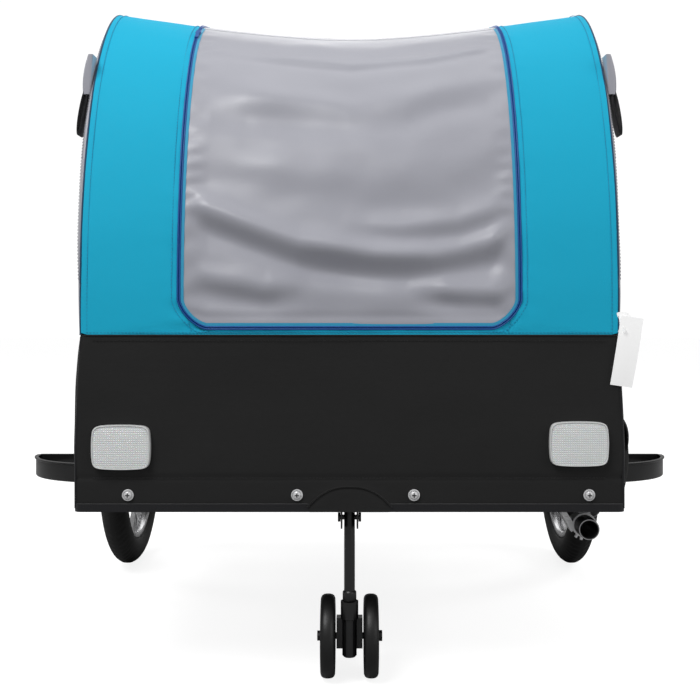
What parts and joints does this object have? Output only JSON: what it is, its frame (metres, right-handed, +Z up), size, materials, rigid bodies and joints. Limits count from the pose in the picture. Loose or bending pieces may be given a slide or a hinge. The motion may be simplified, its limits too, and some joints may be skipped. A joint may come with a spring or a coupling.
{
  "type": "child bicycle trailer",
  "caption": "Fabric-bodied child bicycle trailer with blue and grey hood, spoked main wheels, a folding twin-wheel castor and a tow socket under the front corner.",
  "frame": {"origin": "centre of the footprint on the ground, midway between the front panel's reflectors and the push handle", "axes": "+Z up, the trailer's front faces -Y, +X is the trailer's own left, where the tow socket is"},
  "size_m": [0.8802, 1.0578, 0.9578],
  "materials": {
    "black_steel": "satin black powder coat",
    "silver": "bright zinc and aluminium",
    "black_fabric": "coated woven polyester",
    "blue_fabric": "coated woven polyester, sky blue",
    "grey_fabric": "light grey ripstop",
    "webbing": "woven polypropylene webbing",
    "black_plastic": "moulded plastic",
    "reflector_clear": "clear prismatic reflector",
    "tyre_rubber": "black rubber",
    "foam": "closed cell foam",
    "tag_white": "blank white card",
    "wire": "thin wire"
  },
  "bodies": {
    "base": {"base_frame": "black_steel", "axle_beam": "black_steel", "left_stub_axle": "silver", "right_stub_axle": "silver", "left_wheel_guard": "black_plastic", "right_wheel_guard": "black_plastic", "castor_bracket": "black_steel", "castor_pivot_bolt": "silver", "tow_socket": "black_steel", "tow_socket_bracket": "silver", "pin_lanyard": "wire", "tub": "black_fabric", "front_cover": "blue_fabric", "roof_panel": "grey_fabric", "rear_cover": "black_fabric", "left_side_panel": "grey_fabric", "right_side_panel": "grey_fabric", "side_pocket": "black_fabric", "front_screw_1": "silver", "front_screw_2": "silver", "front_screw_3": "silver", "front_screw_4": "silver", "left_reflector_tray": "black_plastic", "right_reflector_tray": "black_plastic", "left_reflector_lens": "reflector_clear", "right_reflector_lens": "reflector_clear", "seat_base": "grey_fabric", "left_side_tab": "grey_fabric", "right_side_tab": "grey_fabric", "left_side_strap": "webbing", "right_side_strap": "webbing", "hang_tag": "tag_white", "left_handle_bracket": "black_steel", "right_handle_bracket": "black_steel"},
    "castor_arm": {"castor_leg": "black_steel"},
    "castor_swivel": {"castor_fork": "black_plastic", "castor_axle": "silver"},
    "castor_wheel_left": {"castor_left_hub": "black_plastic", "castor_left_tread": "tyre_rubber"},
    "castor_wheel_right": {"castor_right_hub": "black_plastic", "castor_right_tread": "tyre_rubber"},
    "wheel_left": {"left_tyre": "tyre_rubber", "left_rim": "silver", "left_spokes": "silver"},
    "wheel_right": {"right_tyre": "tyre_rubber", "right_rim": "silver", "right_spokes": "silver"},
    "front_bow": {"front_bow_left": "black_steel", "front_bow_right": "black_steel", "front_crossbar": "black_steel"},
    "rear_bow": {"rear_bow_left": "black_steel", "rear_bow_right": "black_steel", "rear_crossbar": "black_steel"},
    "seat_rest": {"seat_back": "grey_fabric", "harness_left": "webbing", "harness_right": "webbing"},
    "flap": {"front_flap": "grey_fabric"},
    "handle": {"push_handle": "black_steel", "handle_grip": "foam"},
    "pin": {"tow_pin": "silver"}
  },
  "joints": [
    {"name": "castor_fold", "type": "hinge", "parent": "base", "child": "castor_arm", "pos_m": [0, -0.49866, 0.2], "axis": [1, 0, 0], "range_deg": [0, 60]},
    {"name": "castor_turn", "type": "hinge", "parent": "castor_arm", "child": "castor_swivel", "pos_m": [0, -0.49866, 0.09], "axis": [0, 0, 1], "continuous": true},
    {"name": "castor_left_spin", "type": "hinge", "parent": "castor_swivel", "child": "castor_wheel_left", "pos_m": [0.0263, -0.47366, 0.05], "axis": [1, 0, 0], "continuous": true},
    {"name": "castor_right_spin", "type": "hinge", "parent": "castor_swivel", "child": "castor_wheel_right", "pos_m": [-0.0263, -0.47366, 0.05], "axis": [1, 0, 0], "continuous": true},
    {"name": "wheel_left_spin", "type": "hinge", "parent": "base", "child": "wheel_left", "pos_m": [0.385, 0.14634, 0.2], "axis": [1, 0, 0], "continuous": true},
    {"name": "wheel_right_spin", "type": "hinge", "parent": "base", "child": "wheel_right", "pos_m": [-0.385, 0.14634, 0.2], "axis": [1, 0, 0], "continuous": true},
    {"name": "hood_fold", "type": "hinge", "parent": "base", "child": "front_bow", "pos_m": [0, -0.50266, 0.41], "axis": [-1, 0, 0], "range_deg": [0, 50]},
    {"name": "rear_bow_fold", "type": "hinge", "parent": "base", "child": "rear_bow", "pos_m": [0, 0.32134, 0.4], "axis": [1, 0, 0], "range_deg": [0, 62.5]},
    {"name": "seat_fold", "type": "hinge", "parent": "base", "child": "seat_rest", "pos_m": [0, 0.05134, 0.335], "axis": [1, 0, 0], "range_deg": [0, 96]},
    {"name": "flap_swing", "type": "hinge", "parent": "base", "child": "flap", "pos_m": [0, -0.31866, 0.848], "axis": [1, 0, 0], "range_deg": [-100, 0]},
    {"name": "handle_tilt", "type": "hinge", "parent": "base", "child": "handle", "pos_m": [0, 0.37834, 0.375], "axis": [-1, 0, 0], "range_deg": [0, 100]},
    {"name": "pin_pull", "type": "slide", "parent": "base", "child": "pin", "axis": [1, 0, 0], "range_m": [0, 0.045]}
  ],
  "couplings": [
    {"joint": "rear_bow_fold", "follows": "hood_fold", "ratio": 1.25},
    {"joint": "seat_fold", "follows": "hood_fold", "ratio": 1.92}
  ]
}
